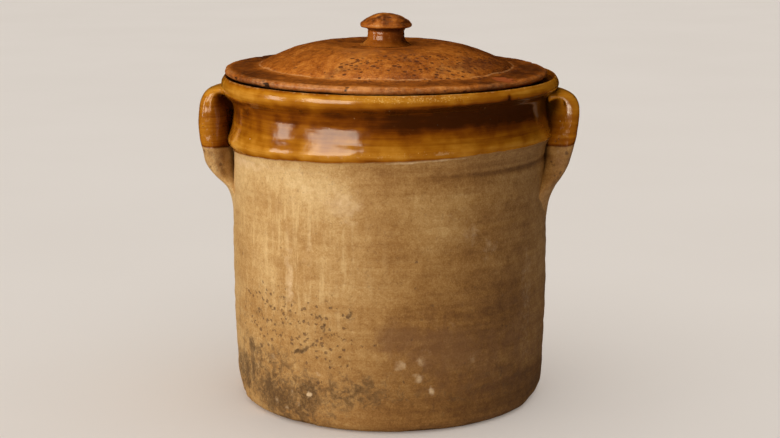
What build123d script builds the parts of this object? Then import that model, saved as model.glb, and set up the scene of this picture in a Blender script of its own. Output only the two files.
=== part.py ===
from build123d import *

import os

# Stoneware fermenting crock: a thrown pot with two luted strap handles, a domed lid
# with a turned knob, and a pair of half-moon weight stones lying on the floor inside.
# Millimetres, +Z up, origin at the centre of the foot, handles on the X axis.

# ---- pot: foot and wall ----
FOOT_RADIUS = 130.5  # flat disc the pot stands on
FOOT_CORNER = (135.7, 3.1)  # a point on the rounded edge of the foot
FOOT_ROUND_HEIGHT = 11.0  # height of that rounded edge
FOOT_SIDE_RADIUS = 138.2  # wall radius just above the rounded edge
BELLY_RADIUS = 140.5  # widest part of the wall
BELLY_HEIGHT = 118.0
SHOULDER_RADIUS = 138.6  # wall radius under the collar
SHOULDER_HEIGHT = 220.5

# ---- pot: collar, neck and rim ----
LOWER_RIDGE = (140.0, 224.5)  # radius, height
GROOVE = (138.4, 229.0)
UPPER_RIDGE = (142.9, 233.6)
BULGE = (143.6, 236.0)
BULGE_TOP = (141.6, 243.5)
NECK = (138.3, 254.5)
NECK_TOP = (141.4, 266.0)
BEAD_START = (145.6, 271.8)
BEAD = (149.2, 279.6)
RIM_CREST = (145.9, 287.6)
SEAT_HEIGHT = 286.3  # ledge the lid rests on
SEAT_OUTER_RADIUS = 142.6
MOUTH_RADIUS = 127.6
MOUTH_EDGE_ROUND = 2.5

# ---- pot: inside ----
FLOOR_THICKNESS = 14.0
INNER_RADIUS_LOW = 127.2
INNER_RADIUS_BELLY = 129.4
INNER_CORNER_RADIUS = 12.0
INNER_BELLY_HEIGHT = 138.0
ARC_MID = 0.293  # how far the middle of a quarter-round lies from its corner, per radius

# ---- handles ----
HANDLE_PATH = [
    (131.0, 267.0),
    (147.5, 269.8),
    (155.8, 265.0),
    (159.2, 251.5),
    (158.2, 233.0),
    (152.2, 208.0),
    (140.5, 185.0),
    (134.3, 160.0),
]  # centre line of the strap, radius and height
STRAP_THICKNESS = 21.5
STRAP_WIDTH = 47.0
STRAP_TOP_THICKNESS = 17.5
STRAP_TOP_WIDTH = 52.0  # spread where the strap is pressed on under the rim
STRAP_TAIL_THICKNESS = 9.5
STRAP_TAIL_WIDTH = 66.0  # spread where the tail is smeared onto the wall
STRAP_STATIONS = 9

# ---- lid ----
LID_SHIFT = -3.5  # the lid has slid sideways on its ledge, along X
LID_RADIUS = 142.0
LID_FLAT_RADIUS = 136.5  # where the rounded edge begins underneath
LID_EDGE_HEIGHT = 290.0
LID_EDGE_TOP = (141.0, 292.4)
FLANGE_TOP = (138.4, 293.5)
DOME_FOOT = (110.7, 296.0)
DOME_POINTS = [(104.0, 300.2), (85.0, 308.2), (68.0, 312.8), (55.0, 314.6)]
PLATEAU_HEIGHT = 313.6  # slightly sunken disc round the knob
PLATEAU_RADIUS = 44.0
DOME_INSIDE = [(108.5, 288.0), (98.0, 294.2), (80.0, 300.6), (58.0, 304.2), (0.0, 304.6)]
LOCATING_RING_OUTER = 123.4
LOCATING_RING_INNER = 113.0
LOCATING_RING_DEPTH = 13.0
RING_EDGE_ROUND = 3.0
RING_TAPER = 0.6

# ---- knob ----
KNOB_BASE_RADIUS = 23.5
KNOB_BASE_LIP = 0.8
STALK_RADIUS = 16.0
STALK_FOOT_HEIGHT = 320.5
STALK_TOP_HEIGHT = 326.6
BASE_FLARE = (17.6, 317.1)  # a point on the hollow flare between base and stalk
CAP_FLARE = (17.7, 328.1)  # a point on the hollow flare under the cap
CAP_UNDERSIDE = (20.8, 329.2)
CAP_LIP = (22.4, 330.2)
CAP_RADIUS = 22.8
CAP_EDGE_HEIGHT = 331.8
CAP_SHOULDER = (13.0, 339.0)
CAP_TOP_HEIGHT = 341.6

# ---- weight stones ----
WEIGHT_RADIUS = 117.5
WEIGHT_THICKNESS = 22.0
WEIGHT_SPLIT = 4.0  # gap between the two halves
FINGER_HOLE_RADIUS = 17.0
WEIGHT_EDGE_ROUND = 4.0


def revolved(edges):
    """Solid of revolution about Z from a closed run of (radius, height) edges."""
    section = make_face(Plane.YZ * (Curve() + edges))
    return revolve(section, Axis.Z)


def outer_edges():
    """Outside of the pot, from the centre of the foot up to the crest of the rim."""
    foot_top = (FOOT_SIDE_RADIUS, FOOT_ROUND_HEIGHT)
    shoulder = (SHOULDER_RADIUS, SHOULDER_HEIGHT)
    return [
        Line((0, 0), (FOOT_RADIUS, 0)),
        ThreePointArc((FOOT_RADIUS, 0), FOOT_CORNER, foot_top),
        ThreePointArc(foot_top, (BELLY_RADIUS, BELLY_HEIGHT), shoulder),
        Line(shoulder, LOWER_RIDGE),
        ThreePointArc(LOWER_RIDGE, GROOVE, UPPER_RIDGE),
        ThreePointArc(UPPER_RIDGE, BULGE, BULGE_TOP),
        ThreePointArc(BULGE_TOP, NECK, NECK_TOP),
        Line(NECK_TOP, BEAD_START),
        ThreePointArc(BEAD_START, BEAD, RIM_CREST),
    ]


def make_filled_pot():
    """The pot's outside with no hollow, used to trim the handles to the wall."""
    closing = [Line(RIM_CREST, (0, RIM_CREST[1])), Line((0, RIM_CREST[1]), (0, 0))]
    return revolved(outer_edges() + closing)


def make_crock_body():
    """Thrown pot: flat foot, straight wall, collar, beaded rim with a ledge for the lid."""
    corner = INNER_CORNER_RADIUS
    corner_low = (INNER_RADIUS_LOW - corner, FLOOR_THICKNESS)
    corner_high = (INNER_RADIUS_LOW, FLOOR_THICKNESS + corner)
    corner_mid = (INNER_RADIUS_LOW - ARC_MID * corner, FLOOR_THICKNESS + ARC_MID * corner)
    mouth_low = (MOUTH_RADIUS, SEAT_HEIGHT - MOUTH_EDGE_ROUND)
    mouth_high = (MOUTH_RADIUS + MOUTH_EDGE_ROUND, SEAT_HEIGHT)
    mouth_mid = (MOUTH_RADIUS + ARC_MID * MOUTH_EDGE_ROUND, SEAT_HEIGHT - ARC_MID * MOUTH_EDGE_ROUND)
    seat_outer = (SEAT_OUTER_RADIUS, SEAT_HEIGHT)
    inner_edges = [
        Line(RIM_CREST, seat_outer),
        Line(seat_outer, mouth_high),
        ThreePointArc(mouth_high, mouth_mid, mouth_low),
        ThreePointArc(mouth_low, (INNER_RADIUS_BELLY, INNER_BELLY_HEIGHT), corner_high),
        ThreePointArc(corner_high, corner_mid, corner_low),
        Line(corner_low, (0, FLOOR_THICKNESS)),
        Line((0, FLOOR_THICKNESS), (0, 0)),
    ]
    return revolved(outer_edges() + inner_edges)


def blend(start, middle, end, t):
    """Value that runs from start to middle at half way and on to end, smoothly."""
    if t < 0.5:
        return middle + (start - middle) * (1 - 2 * t) ** 2
    return middle + (end - middle) * (2 * t - 1) ** 2


def make_handle(side, filled_pot):
    """Pulled strap, bent down from under the rim and smeared onto the wall."""
    path = Spline([(radius, 0, height) for radius, height in HANDLE_PATH])
    sections = []
    for index in range(STRAP_STATIONS):
        t = index / (STRAP_STATIONS - 1)
        thickness = blend(STRAP_TOP_THICKNESS, STRAP_THICKNESS, STRAP_TAIL_THICKNESS, t)
        width = blend(STRAP_TOP_WIDTH, STRAP_WIDTH, STRAP_TAIL_WIDTH, t)
        plane = Plane(origin=path @ t, x_dir=(0, 1, 0), z_dir=path % t)
        sections.append(plane * Ellipse(width / 2, thickness / 2))
    strap = loft(sections)
    if side < 0:
        strap = strap.rotate(Axis.Z, 180)
    return strap - filled_pot


def make_lid_plate():
    """Domed lid: rounded flange, dome with a sunken plateau, locating ring underneath."""
    edge = (LID_RADIUS, LID_EDGE_HEIGHT)
    flat_end = (LID_FLAT_RADIUS, SEAT_HEIGHT)
    ring_bottom = SEAT_HEIGHT - LOCATING_RING_DEPTH
    ring_mid = (LOCATING_RING_OUTER + LOCATING_RING_INNER) / 2
    ring_outer_low = (LOCATING_RING_OUTER - RING_TAPER, ring_bottom + RING_EDGE_ROUND)
    ring_inner_low = (LOCATING_RING_INNER + RING_TAPER, ring_bottom + RING_EDGE_ROUND)
    plateau_edge = (PLATEAU_RADIUS, PLATEAU_HEIGHT)
    dome_top = DOME_POINTS[-1]
    edges = [
        Line((0, PLATEAU_HEIGHT), plateau_edge),
        Line(plateau_edge, dome_top),
        Spline([dome_top] + DOME_POINTS[-2::-1] + [DOME_FOOT]),
        Line(DOME_FOOT, FLANGE_TOP),
        ThreePointArc(FLANGE_TOP, LID_EDGE_TOP, edge),
        TangentArc(flat_end, edge, tangent=(1, 0)),
        Line(flat_end, (LOCATING_RING_OUTER, SEAT_HEIGHT)),
        Line((LOCATING_RING_OUTER, SEAT_HEIGHT), ring_outer_low),
        ThreePointArc(ring_outer_low, (ring_mid, ring_bottom), ring_inner_low),
        Line(ring_inner_low, (LOCATING_RING_INNER, DOME_INSIDE[0][1])),
        Line((LOCATING_RING_INNER, DOME_INSIDE[0][1]), DOME_INSIDE[0]),
        Spline(DOME_INSIDE[:-1]),
        Line(DOME_INSIDE[-2], DOME_INSIDE[-1]),
        Line(DOME_INSIDE[-1], (0, PLATEAU_HEIGHT)),
    ]
    return Pos(LID_SHIFT, 0, 0) * revolved(edges)


def make_lid_knob():
    """Turned mushroom knob, luted to the plateau of the lid by its flared base."""
    lip_top = (KNOB_BASE_RADIUS, PLATEAU_HEIGHT + KNOB_BASE_LIP)
    stalk_foot = (STALK_RADIUS, STALK_FOOT_HEIGHT)
    stalk_top = (STALK_RADIUS, STALK_TOP_HEIGHT)
    cap_edge = (CAP_RADIUS, CAP_EDGE_HEIGHT)
    crown = (0, CAP_TOP_HEIGHT)
    edges = [
        Line((0, PLATEAU_HEIGHT), (KNOB_BASE_RADIUS, PLATEAU_HEIGHT)),
        Line((KNOB_BASE_RADIUS, PLATEAU_HEIGHT), lip_top),
        ThreePointArc(lip_top, BASE_FLARE, stalk_foot),
        Line(stalk_foot, stalk_top),
        ThreePointArc(stalk_top, CAP_FLARE, CAP_UNDERSIDE),
        ThreePointArc(CAP_UNDERSIDE, CAP_LIP, cap_edge),
        Spline([cap_edge, CAP_SHOULDER, crown], tangents=[(-1.0, 1.1), (-1.0, 0.0)]),
        Line(crown, (0, PLATEAU_HEIGHT)),
    ]
    return Pos(LID_SHIFT, 0, 0) * revolved(edges)


def make_weight(side):
    """Half-moon stone with a half-round finger notch in the middle of its straight side."""
    disc = Cylinder(WEIGHT_RADIUS, WEIGHT_THICKNESS)
    keep = Pos(0, side * (WEIGHT_RADIUS + WEIGHT_SPLIT / 2), 0)
    disc = disc & keep * Box(3 * WEIGHT_RADIUS, 2 * WEIGHT_RADIUS, 2 * WEIGHT_THICKNESS)
    stone = disc - Cylinder(FINGER_HOLE_RADIUS, 2 * WEIGHT_THICKNESS)
    stone = fillet(stone.edges().filter_by(Plane.XY), WEIGHT_EDGE_ROUND)
    return Pos(0, 0, FLOOR_THICKNESS + WEIGHT_THICKNESS / 2) * stone


def main():
    filled_pot = make_filled_pot()
    nodes = {
        "crock_body": make_crock_body(),
        "handle_left": make_handle(-1, filled_pot),
        "handle_right": make_handle(1, filled_pot),
        "lid_plate": make_lid_plate(),
        "lid_knob": make_lid_knob(),
        "weight_front": make_weight(-1),
        "weight_rear": make_weight(1),
    }
    os.makedirs("parts", exist_ok=True)
    for name, shape in nodes.items():
        export_step(shape, f"parts/{name}.step")


main()
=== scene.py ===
import functools
import math

import bpy
import numpy as np
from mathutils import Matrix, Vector


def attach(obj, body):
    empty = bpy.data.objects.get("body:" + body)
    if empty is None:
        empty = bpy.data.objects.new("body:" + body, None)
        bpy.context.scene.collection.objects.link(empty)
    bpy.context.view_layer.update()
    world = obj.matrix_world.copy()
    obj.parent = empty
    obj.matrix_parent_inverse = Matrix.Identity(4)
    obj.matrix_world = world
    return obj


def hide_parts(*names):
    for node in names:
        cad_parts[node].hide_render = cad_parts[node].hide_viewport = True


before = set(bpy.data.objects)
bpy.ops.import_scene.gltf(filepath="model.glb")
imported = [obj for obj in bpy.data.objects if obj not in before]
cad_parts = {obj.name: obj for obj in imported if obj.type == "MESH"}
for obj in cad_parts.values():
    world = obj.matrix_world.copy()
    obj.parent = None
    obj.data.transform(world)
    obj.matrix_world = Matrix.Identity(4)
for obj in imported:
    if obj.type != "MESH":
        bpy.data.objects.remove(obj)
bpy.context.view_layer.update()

# Lidded stoneware crock. All shape numbers are millimetres in the CAD frame; meshes are
# written in metres. Azimuth is measured about +Z: 0 at the right handle, -90 at the front.
MM = 0.001
WALL = 140.0  # radius used to turn azimuth into distance along the wall

# ---- repeatable noise


def lattice(ix, iy, iz, seed):
    """Repeatable value from -1 to 1 at whole-number lattice points."""
    h = ix.astype(np.uint32) * np.uint32(374761393)
    h ^= iy.astype(np.uint32) * np.uint32(668265263)
    h ^= iz.astype(np.uint32) * np.uint32(2246822519)
    h += np.uint32(seed * 7919 + 17)
    h ^= h >> np.uint32(15)
    h *= np.uint32(2246822519)
    h ^= h >> np.uint32(13)
    h *= np.uint32(3266489917)
    h ^= h >> np.uint32(16)
    return h.astype(np.float64) / 2147483647.5 - 1.0


def value_noise(p, seed):
    """Smooth noise from -1 to 1 at points p, an (n, 3) array with one lump per unit."""
    base = np.floor(p)
    f = p - base
    f = f * f * (3 - 2 * f)
    cell = base.astype(np.int64)
    total = np.zeros(len(p))
    for corner in range(8):
        step = [corner & 1, (corner >> 1) & 1, corner >> 2]
        weight = np.ones(len(p))
        for axis in range(3):
            weight *= f[:, axis] if step[axis] else 1 - f[:, axis]
        total += weight * lattice(*(cell[:, axis] + step[axis] for axis in range(3)), seed)
    return total


def fbm(p, lump, octaves=3, seed=0, stretch=(1, 1, 1)):
    """Layered noise at points p in mm; lump is the size of the largest lumps."""
    q = p / lump / np.array(stretch, float)
    total, weight = 0.0, 1.0
    for octave in range(octaves):
        total = total + weight * value_noise(q + 31.7 * octave, seed + octave)
        q = q * 2.03
        weight *= 0.5
    return total


def smooth(value, low, high):
    """Smooth step from 0 at low to 1 at high."""
    t = np.clip((value - low) / (high - low), 0, 1)
    return t * t * (3 - 2 * t)


def fade(value, low, high):
    """Smooth step from 1 at low to 0 at high."""
    return 1 - smooth(value, low, high)


def spot(azimuth, height, centre, level, half_width, half_height, edge=0.6):
    """Soft oval mark on the wall, half its size in mm: 1 in the middle, 0 outside."""
    across = np.radians((azimuth - centre + 180) % 360 - 180) * WALL / half_width
    up = (height - level) / half_height
    return fade(np.hypot(across, up), 1 - edge, 1 + edge)


# ---- outlines


def arc(start, middle, end, step):
    """Points of the circular arc through three (radius, height) points, end left out."""
    (ax, ay), (bx, by), (cx, cy) = start, middle, end
    d = 2 * (ax * (by - cy) + bx * (cy - ay) + cx * (ay - by))
    sa, sb, sc = ax * ax + ay * ay, bx * bx + by * by, cx * cx + cy * cy
    ux = (sa * (by - cy) + sb * (cy - ay) + sc * (ay - by)) / d
    uy = (sa * (cx - bx) + sb * (ax - cx) + sc * (bx - ax)) / d
    radius = math.hypot(ax - ux, ay - uy)
    t0 = math.atan2(ay - uy, ax - ux)
    t1 = t0 + math.remainder(math.atan2(by - uy, bx - ux) - t0, math.tau)
    t2 = t1 + math.remainder(math.atan2(cy - uy, cx - ux) - t1, math.tau)
    count = max(2, round(radius * abs(t2 - t0) / step))
    angles = [t0 + (t2 - t0) * i / count for i in range(count)]
    return [(ux + radius * math.cos(t), uy + radius * math.sin(t)) for t in angles]


def line(start, end, step):
    """Points of a straight run, end left out."""
    (ax, ay), (bx, by) = start, end
    count = max(1, round(math.dist(start, end) / step))
    return [(ax + (bx - ax) * i / count, ay + (by - ay) * i / count) for i in range(count)]


def curve(points, per_span):
    """Catmull-Rom curve through a list of points of any dimension."""
    p = np.array(points, float)
    p = np.vstack([2 * p[0] - p[1], p, 2 * p[-1] - p[-2]])
    out = []
    for i in range(1, len(p) - 2):
        for t in np.arange(per_span) / per_span:
            a = 2 * p[i]
            b = (p[i + 1] - p[i - 1]) * t
            c = (2 * p[i - 1] - 5 * p[i] + 4 * p[i + 1] - p[i + 2]) * t * t
            d = (3 * p[i] - p[i - 1] - 3 * p[i + 1] + p[i + 2]) * t * t * t
            out.append((a + b + c + d) / 2)
    out.append(p[-2])
    return np.array(out)


def bend(points, per_span):
    """The same curve as a list of points, end left out."""
    return [tuple(point) for point in curve(points, per_span)[:-1]]


def soften(outline, rounds):
    """Relaxes an outline's corners a little; its ends stay put."""
    p = np.array(outline, float)
    for _ in range(rounds):
        p[1:-1] = p[1:-1] * 0.5 + (p[:-2] + p[2:]) * 0.25
    return p


# ---- meshes


def add_mesh(name, points, faces, marks=None):
    """A smooth-shaded object from mm points; marks are named values, one per point or for all."""
    mesh = bpy.data.meshes.new(name)
    mesh.from_pydata((np.asarray(points) * MM).tolist(), [], faces)
    mesh.update()
    for key, values in (marks or {}).items():
        layer = mesh.attributes.new(key, "FLOAT", "POINT")
        layer.data.foreach_set("value", np.full(len(points), values, np.float32))
    mesh.shade_smooth()
    thing = bpy.data.objects.new(name, mesh)
    bpy.context.scene.collection.objects.link(thing)
    return thing


def ring_faces(rings, around):
    """Quads of a grid of rings; point index is ring * around + step."""
    faces = []
    for a in range(0, (rings - 1) * around, around):
        b = a + around
        for j in range(around):
            k = (j + 1) % around
            faces.append((a + j, a + k, b + k, b + j))
    return faces


def tube_faces(rings, around):
    """The same, closed by fans to two end points that come after the grid's points."""
    faces = ring_faces(rings, around)
    low = rings * around
    last = low - around
    for j in range(around):
        k = (j + 1) % around
        faces += [(low, k, j), (low + 1, last + j, last + k)]
    return faces


def lathe(outline, around):
    """Closed turned body: points, faces, outline index, azimuth (-180 to 180), outward normals.

    The outline starts and ends on the axis and runs counter-clockwise in (radius, height).
    """
    p = np.array(outline, float)
    inner = p[1:-1]
    tangent = p[2:] - p[:-2]
    tangent /= np.linalg.norm(tangent, axis=1)[:, None]
    angle = np.arange(around) * math.tau / around
    ring = np.repeat(np.arange(len(inner)), around)
    theta = np.tile(angle, len(inner))
    radius, height = inner[ring, 0], inner[ring, 1]
    nr, nz = tangent[ring, 1], -tangent[ring, 0]
    x, y = np.cos(theta), np.sin(theta)
    points = np.stack([radius * x, radius * y, height], 1)
    normal = np.stack([nr * x, nr * y, nz], 1)
    faces = tube_faces(len(inner), around)
    points = np.vstack([points, [0, 0, p[0, 1]], [0, 0, p[-1, 1]]])
    normal = np.vstack([normal, [0, 0, -1], [0, 0, 1]])
    ring = np.append(ring, [-1, len(inner)])
    azimuth = (np.degrees(np.append(theta, [0, 0])) + 180) % 360 - 180
    return points, faces, ring, azimuth, normal


# ---- materials


class Paint:
    """Short-hand for building one Principled material out of nodes."""

    def __init__(self, name):
        self.material = bpy.data.materials.new(name)
        self.material.use_nodes = True
        self.tree = self.material.node_tree
        self.tree.nodes.clear()
        self.shader = self.node("BsdfPrincipled", {})
        self.node("OutputMaterial", {"Surface": self.shader.outputs["BSDF"]})
        self.place = self.node("TexCoord", {}).outputs["Object"]

    def node(self, kind, inputs, **settings):
        """New node; each of its inputs is linked to a socket or set to a value."""
        node = self.tree.nodes.new("ShaderNode" + kind)
        for key, value in settings.items():
            setattr(node, key, value)
        for key, value in inputs.items():
            self.put(node.inputs[key], value)
        return node

    def put(self, socket, value):
        if isinstance(value, bpy.types.NodeSocket):
            self.tree.links.new(value, socket)
        elif socket.type == "RGBA":
            socket.default_value = (*value, 1)
        else:
            socket.default_value = value

    def math(self, operation, a, b=0.0, c=0.0):
        return self.node("Math", {0: a, 1: b, 2: c}, operation=operation).outputs[0]

    def add(self, *values):
        return functools.reduce(lambda a, b: self.math("ADD", a, b), values)

    def times(self, *values):
        return functools.reduce(lambda a, b: self.math("MULTIPLY", a, b), values)

    def sway(self, value, amount):
        """A 0 to 1 noise as a swing of amount about zero."""
        return self.math("MULTIPLY_ADD", value, amount, -0.5 * amount)

    def step(self, value, low, high):
        """Smooth step from 0 at low to 1 at high."""
        inputs = {"Value": value, "From Min": low, "From Max": high}
        return self.node("MapRange", inputs, interpolation_type="SMOOTHSTEP").outputs["Result"]

    def stretch(self, *scale):
        """Object coordinates scaled per axis; a small scale draws marks out."""
        return self.node("Mapping", {"Vector": self.place, "Scale": scale}).outputs["Vector"]

    def noise(self, lump, detail=3.0, rough=0.5, twist=0.0, vector=None):
        """Noise from 0 to 1, lump millimetres across."""
        inputs = {"Vector": vector or self.place, "Scale": 1 / (lump * MM)}
        inputs |= {"Detail": detail, "Roughness": rough, "Distortion": twist}
        return self.node("TexNoise", inputs).outputs["Fac"]

    def dots(self, lump, small, large, soft, vector=None, ragged=None):
        """Dots lump millimetres apart: their mask, and two random numbers per dot.

        Their radius runs from small to large, in lumps, and ragged is noise for their outline.
        """
        inputs = {"Vector": vector or self.place, "Scale": 1 / (lump * MM)}
        cells = self.node("TexVoronoi", inputs)
        random = self.node("SeparateColor", {0: cells.outputs["Color"]}).outputs
        near = cells.outputs["Distance"]
        if ragged is not None:
            near = self.add(near, ragged)
        inside = self.math("SUBTRACT", self.blend(random[0], small, large), near)
        return self.step(inside, 0.0, soft), random[1], random[2]

    def mark(self, name):
        """A value painted on the mesh's points."""
        return self.node("Attribute", {}, attribute_name=name).outputs["Fac"]

    def patchy(self, name, noise, swing, low, high):
        """Mask of a painted mark whose outline is broken up by a 0 to 1 noise."""
        return self.step(self.add(self.mark(name), self.sway(noise, swing)), low, high)

    def mix(self, amount, a, b):
        """Colour that runs from a to b."""
        return self.node("Mix", {"Factor": amount, 6: a, 7: b}, data_type="RGBA").outputs[2]

    def blend(self, amount, a, b):
        """Number that runs from a to b."""
        return self.node("Mix", {"Factor": amount, 2: a, 3: b}, data_type="FLOAT").outputs[0]

    def coat(self, under, mask, strength, *shade):
        """Covers a colour with a 0-255 shade where the mask says."""
        return self.mix(self.times(mask, strength), under, srgb(*shade))

    def ramp(self, value, *stops):
        """Colour read off stops of (position, 0-255 shade)."""
        node = self.node("ValToRGB", {"Fac": value})
        node.color_ramp.interpolation = "B_SPLINE" if len(stops) > 3 else "EASE"
        elements = node.color_ramp.elements
        while len(elements) < len(stops):
            elements.new(0.5)
        for element, (position, shade) in zip(elements, stops):
            element.position = position
            element.color = (*srgb(*shade), 1)
        return node.outputs["Color"]

    def bump(self, height, depth, strength=1.0, before=None):
        """Relief whose height of 1 stands for depth millimetres."""
        inputs = {"Height": height, "Distance": depth * MM, "Strength": strength}
        if before is not None:
            inputs["Normal"] = before
        return self.node("Bump", inputs).outputs["Normal"]

    def finish(self, colour, roughness, normal, specular):
        self.put(self.shader.inputs["Base Color"], colour)
        self.put(self.shader.inputs["Roughness"], roughness)
        self.put(self.shader.inputs["Normal"], normal)
        self.shader.inputs["Specular IOR Level"].default_value = specular
        return self.material


def srgb(red, green, blue):
    """Linear colour from 0-255 display values."""
    out = []
    for value in (red, green, blue):
        c = value / 255
        out.append(c / 12.92 if c <= 0.04045 else ((c + 0.055) / 1.055) ** 2.4)
    return tuple(out)


def stoneware_material():
    """Bare clay and brown glaze in one material, split and shaded by painted marks."""
    paint = Paint("stoneware")
    mark, noise, sway = paint.mark, paint.noise, paint.sway
    add, times, step, blend = paint.add, paint.times, paint.step, paint.blend
    cloud = noise(55, 4, 0.55, 0.4)
    mottle = noise(9, 5, 0.6)
    grain = noise(1.3, 3, 0.6)
    turned = noise(6, 4, 0.6, 0.0, paint.stretch(0.05, 0.05, 1.0))
    drips = noise(5, 4, 0.65, 0.3, paint.stretch(1.0, 1.0, 0.07))
    pool = noise(26, 4, 0.6, 0.8)

    # clay: pale buff to dark brown, with runs, rubbed dirt, specks and pits; on the straps the stain
    # and red marks also carry painted shade, and the pale mark a painted highlight
    shade = add(mark("tone"), sway(cloud, 0.38), sway(mottle, 0.36), sway(noise(3.2, 3, 0.6), 0.26))
    shade = add(shade, times(sway(turned, 0.5), mark("tone")), sway(grain, 0.4))
    clay = paint.ramp(
        shade,
        (0.0, (228, 206, 160)), (0.25, (206, 174, 120)), (0.5, (173, 131, 70)),
        (0.75, (137, 90, 25)), (1.0, (94, 56, 8)),
    )
    clay = paint.coat(clay, step(noise(2.3, 2, 0.5), 0.58, 0.74), 0.34, 116, 76, 34)
    runs = times(mark("runs"), step(drips, 0.42, 0.74), step(pool, 0.34, 0.56))
    clay = paint.mix(runs, clay, srgb(230, 204, 152))
    rubbed_and_painted_light = paint.patchy("red", noise(15, 6, 0.68, 0.7), 2.0, 0.1, 0.95)
    clay = paint.coat(clay, rubbed_and_painted_light, 0.56, 116, 76, 42)
    dirt_and_shade = paint.patchy("stain_and_shade", noise(8, 6, 0.7, 0.8), 2.6, 0.3, 0.95)
    clay = paint.coat(clay, dirt_and_shade, 0.7, 92, 66, 34)
    pepper = paint.patchy("stain_and_shade", noise(2.4, 4, 0.65), 2.6, 0.62, 1.1)
    clay = paint.coat(clay, pepper, 0.6, 70, 46, 18)
    crust_and_highlight = paint.patchy("pale", noise(5, 5, 0.65), 1.0, 0.15, 1.05)
    clay = paint.coat(clay, crust_and_highlight, 0.72, 230, 204, 166)
    ragged = sway(noise(1.7, 3, 0.6), 1.1)
    hole, chance, _ = paint.dots(3.8, 0.1, 0.6, 0.2, paint.stretch(1, 1, 1.15), ragged)
    pit = times(hole, step(paint.math("SUBTRACT", mark("pits"), chance), 0.0, 0.04))
    clay = paint.coat(clay, pit, 0.66, 92, 60, 30)

    # glaze: ochre where thin, dark brown where thick and where shade is painted, brushed round the
    # pot, pale where worn and where highlights are painted
    brush = noise(4, 5, 0.65, 0.3, paint.stretch(0.04, 0.04, 1.0))
    glaze = paint.ramp(
        add(mark("thick_and_shade"), sway(brush, 0.66), sway(pool, 0.34), sway(mottle, 0.14)),
        (0.0, (212, 156, 64)), (0.28, (176, 115, 22)), (0.52, (142, 80, 9)),
        (0.75, (102, 48, 5)), (1.0, (50, 23, 4)),
    )
    # pale flecks: painted glints off crystals in the glaze, most where the glint mark is high
    fleck = add(noise(1.0, 2, 0.5), times(mark("painted_glints"), 0.2))
    glaze = paint.coat(glaze, step(fleck, 0.74, 0.86), 0.6, 240, 206, 132)
    hole, chance, bubble = paint.dots(8.0, 0.02, 0.1, 0.03)
    pinhole = times(hole, step(chance, 0.6, 0.62))
    burst = paint.mix(step(bubble, 0.5, 0.55), srgb(232, 205, 160), srgb(60, 26, 6))
    glaze = paint.mix(times(pinhole, 0.85), glaze, burst)
    worn_and_highlight = paint.patchy("worn_and_highlight", noise(5, 5, 0.7), 1.3, 0.42, 0.8)
    glaze = paint.coat(glaze, worn_and_highlight, 0.5, 198, 152, 92)
    hole, chance, _ = paint.dots(3.4, 0.08, 0.3, 0.1)
    blister = times(hole, step(chance, 0.6, 0.66), mark("blisters"))
    glaze = paint.coat(glaze, blister, 0.55, 84, 44, 10)

    glazed = paint.patchy("glaze", noise(6, 4, 0.6), 1.6, -0.9, 0.9)
    colour = paint.mix(glazed, clay, glaze)
    rough_clay = paint.math("MAXIMUM", blend(grain, 0.56, 0.88), times(dirt_and_shade, 0.92))
    rough_glaze = add(0.06, times(pool, 0.13), times(worn_and_highlight, 0.35), times(pinhole, 0.3))
    lumps = blend(glazed, mottle, noise(16, 2, 0.4))
    relief = add(
        times(blend(glazed, grain, 0.5), 0.2),
        times(turned, blend(glazed, 0.34, 0.16)),
        times(lumps, blend(glazed, 0.36, 0.3)),
        times(blister, glazed, -0.22),
        times(noise(3.4, 3, 0.6), glazed, 0.13),
    )
    holes = add(
        times(pit, paint.math("SUBTRACT", 1.0, glazed), -1.0),
        times(pinhole, glazed, -0.5),
        times(glazed, 0.35),
    )
    normal = paint.bump(holes, 0.8, 0.7, paint.bump(relief, 0.9, 0.8))
    return paint.finish(colour, blend(glazed, rough_clay, rough_glaze), normal, 0.6)


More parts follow.
